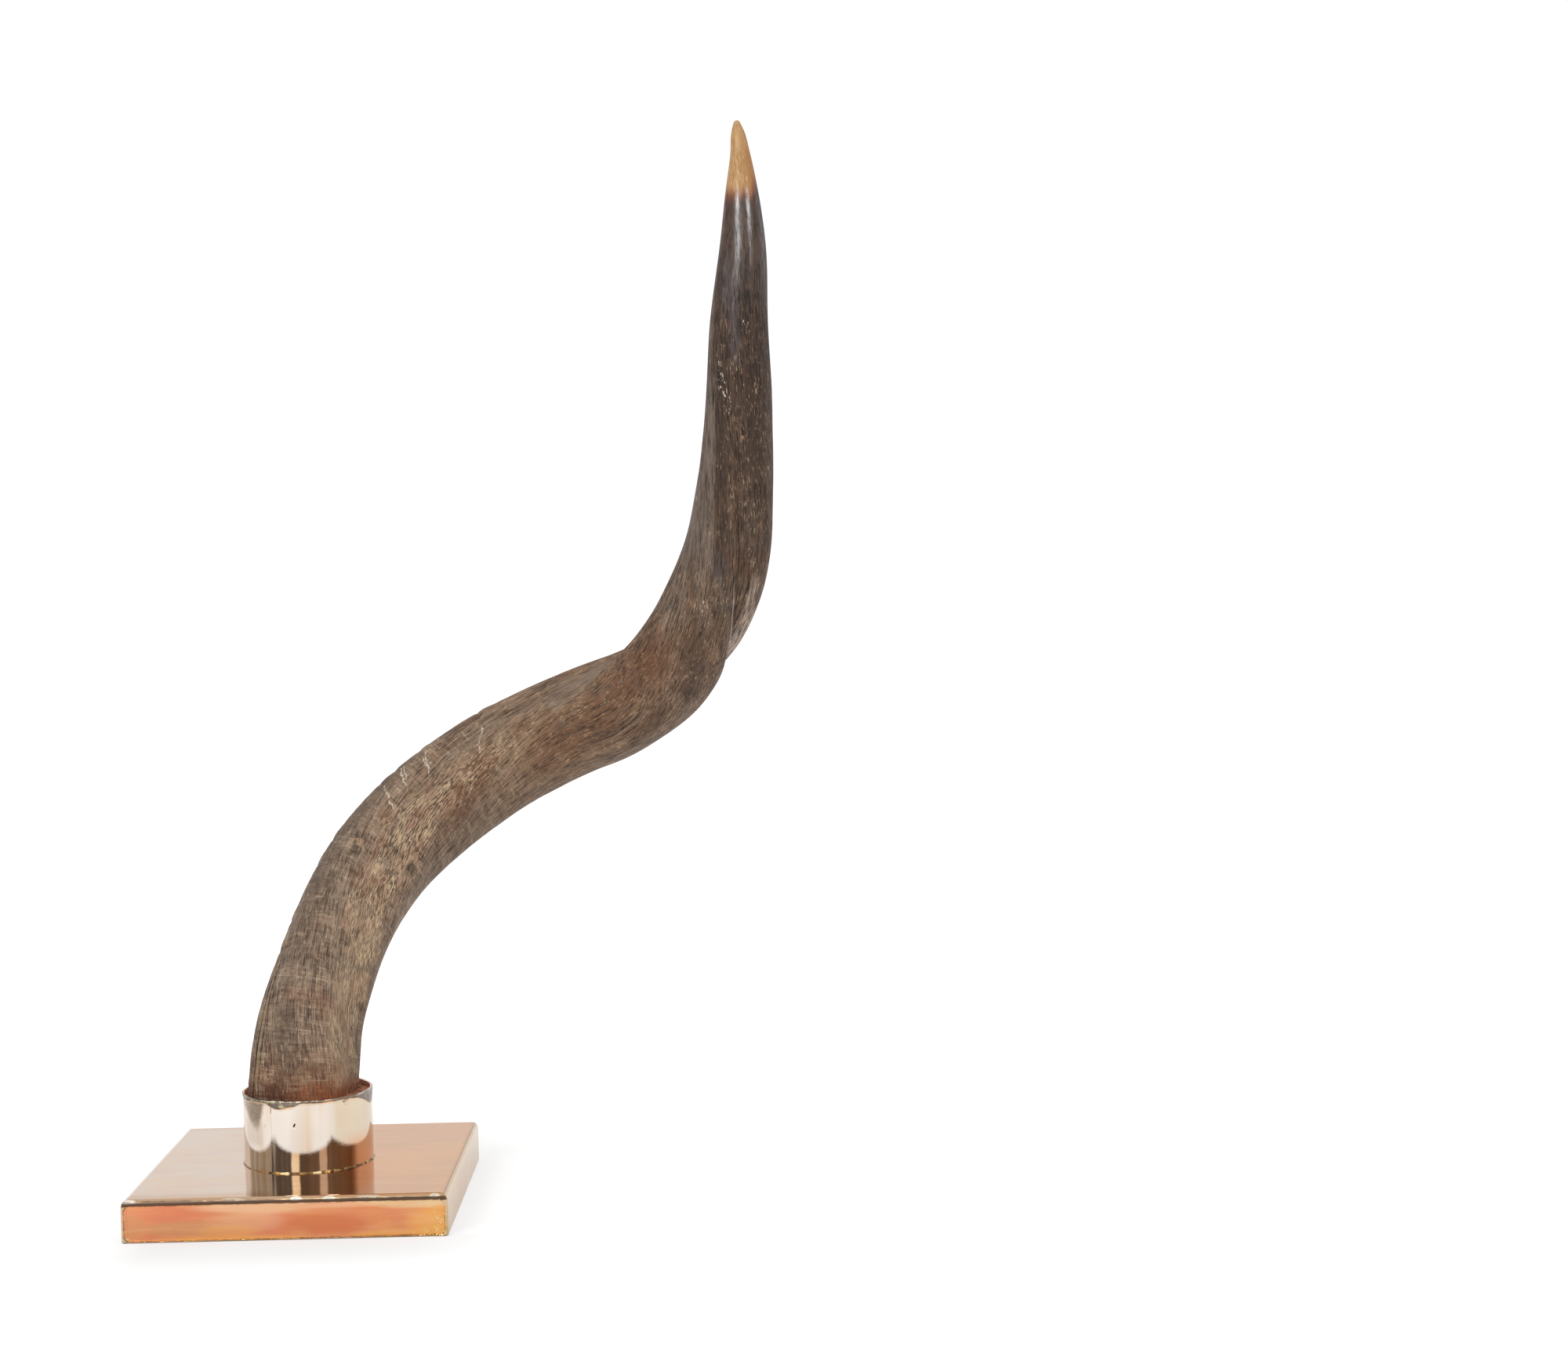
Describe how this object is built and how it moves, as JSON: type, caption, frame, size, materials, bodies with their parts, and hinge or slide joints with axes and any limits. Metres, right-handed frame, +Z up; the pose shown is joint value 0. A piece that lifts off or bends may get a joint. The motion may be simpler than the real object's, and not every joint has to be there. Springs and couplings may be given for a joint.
{
  "type": "mounted kudu horn",
  "caption": "Twisted, keeled kudu horn with a pale tip, standing in a polished metal collar on a square copper-coloured base.",
  "frame": {"origin": "middle of the base's underside, on the surface it stands on", "axes": "+Z up, +X to the right along the base's front edge, the way the horn leans, +Y towards the back"},
  "size_m": [0.3653, 0.2291, 0.6116],
  "materials": {
    "horn": "satin",
    "bedding": "matte",
    "collar": "polished",
    "solder_bead": "satin",
    "base_cladding": "polished",
    "base_block": "matte"
  },
  "bodies": {
    "root": {"horn": "horn", "bedding": "bedding", "collar": "collar", "solder_bead": "solder_bead", "base_cladding": "base_cladding", "base_block": "base_block"}
  },
  "joints": []
}
